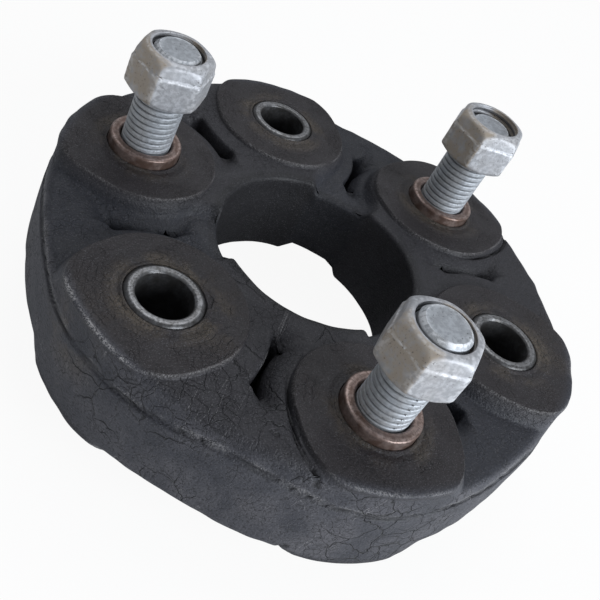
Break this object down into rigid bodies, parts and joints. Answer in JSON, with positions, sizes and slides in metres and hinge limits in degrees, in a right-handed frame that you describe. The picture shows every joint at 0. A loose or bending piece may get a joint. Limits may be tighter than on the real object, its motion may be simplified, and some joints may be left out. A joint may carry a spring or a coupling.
{
  "type": "flexible disc coupling",
  "caption": "Flexible rubber disc coupling for a propeller shaft: steel bushes joined by cord loops in a moulded ring, with bolts and lock nuts on alternate bushes.",
  "frame": {"origin": "on the shaft axis, in the plane of the bolt heads' undersides", "axes": "+Z along the shaft axis towards the lock nuts, +Y through an open bush"},
  "size_m": [0.1298, 0.133, 0.064],
  "materials": {
    "rubber": "aged matt black moulded rubber, finely crazed, dusty",
    "cord": "wound polyester cord, rubberised",
    "open_bush_steel": "worn bare steel ends, scuffed",
    "bolted_bush_steel": "steel with light brown rust and a bright worn rim",
    "collar_steel": "pressed steel",
    "bolt_plating": "dull zinc-flake plating, dirty in the thread",
    "nut_plating": "dull zinc-flake plating with beige dirt and dark pits"
  },
  "bodies": {
    "root": {"rubber_body": "rubber", "cord_pack_core_1": "cord", "cord_pack_core_2": "cord", "cord_pack_core_3": "cord", "cord_pack_upper_1": "cord", "cord_pack_upper_2": "cord", "cord_pack_upper_3": "cord", "cord_pack_lower_1": "cord", "cord_pack_lower_2": "cord", "cord_pack_lower_3": "cord", "open_bush_1": "open_bush_steel", "open_collar_upper_1": "collar_steel", "open_collar_lower_1": "collar_steel", "open_bush_2": "open_bush_steel", "open_collar_upper_2": "collar_steel", "open_collar_lower_2": "collar_steel", "open_bush_3": "open_bush_steel", "open_collar_upper_3": "collar_steel", "open_collar_lower_3": "collar_steel"},
    "bolted_side": {"bolted_bush_1": "bolted_bush_steel", "bolted_collar_upper_1": "collar_steel", "bolted_collar_lower_1": "collar_steel", "bolted_bush_2": "bolted_bush_steel", "bolted_collar_upper_2": "collar_steel", "bolted_collar_lower_2": "collar_steel", "bolted_bush_3": "bolted_bush_steel", "bolted_collar_upper_3": "collar_steel", "bolted_collar_lower_3": "collar_steel"},
    "bolt_1": {"bolt_1": "bolt_plating"},
    "lock_nut_1": {"lock_nut_1": "nut_plating"},
    "bolt_2": {"bolt_2": "bolt_plating"},
    "lock_nut_2": {"lock_nut_2": "nut_plating"},
    "bolt_3": {"bolt_3": "bolt_plating"},
    "lock_nut_3": {"lock_nut_3": "nut_plating"}
  },
  "joints": [
    {"name": "torsion_flex", "type": "hinge", "parent": "root", "child": "bolted_side", "pos_m": [0, 0, 0.02175], "axis": [0, 0, 1], "range_deg": [-3, 3], "stiffness_Nm_per_rad": 3440, "deforming": ["rubber_body", "cord_pack_core_1", "cord_pack_core_2", "cord_pack_core_3", "cord_pack_upper_1", "cord_pack_upper_2", "cord_pack_upper_3", "cord_pack_lower_1", "cord_pack_lower_2", "cord_pack_lower_3"]},
    {"name": "bolt_1_turn", "type": "hinge", "parent": "bolted_side", "child": "bolt_1", "pos_m": [0, -0.048, 0.02175], "axis": [0, 0, 1], "range_deg": [-2155, 2920]},
    {"name": "nut_1_travel", "type": "slide", "parent": "bolted_side", "child": "lock_nut_1", "axis": [0, 0, 1], "range_m": [-0.0122, 0.009]},
    {"name": "bolt_2_turn", "type": "hinge", "parent": "bolted_side", "child": "bolt_2", "pos_m": [0.04157, 0.024, 0.02175], "axis": [0, 0, 1], "range_deg": [-1555, 3520]},
    {"name": "nut_2_travel", "type": "slide", "parent": "bolted_side", "child": "lock_nut_2", "axis": [0, 0, 1], "range_m": [-0.0147, 0.0065]},
    {"name": "bolt_3_turn", "type": "hinge", "parent": "bolted_side", "child": "bolt_3", "pos_m": [-0.04157, 0.024, 0.02175], "axis": [0, 0, 1], "range_deg": [-1935, 3135]},
    {"name": "nut_3_travel", "type": "slide", "parent": "bolted_side", "child": "lock_nut_3", "axis": [0, 0, 1], "range_m": [-0.0131, 0.0081]}
  ],
  "couplings": [
    {"joint": "nut_1_travel", "follows": "bolt_1_turn", "m_per_rad": -0.00023873},
    {"joint": "nut_2_travel", "follows": "bolt_2_turn", "m_per_rad": -0.00023873},
    {"joint": "nut_3_travel", "follows": "bolt_3_turn", "m_per_rad": -0.00023873}
  ]
}
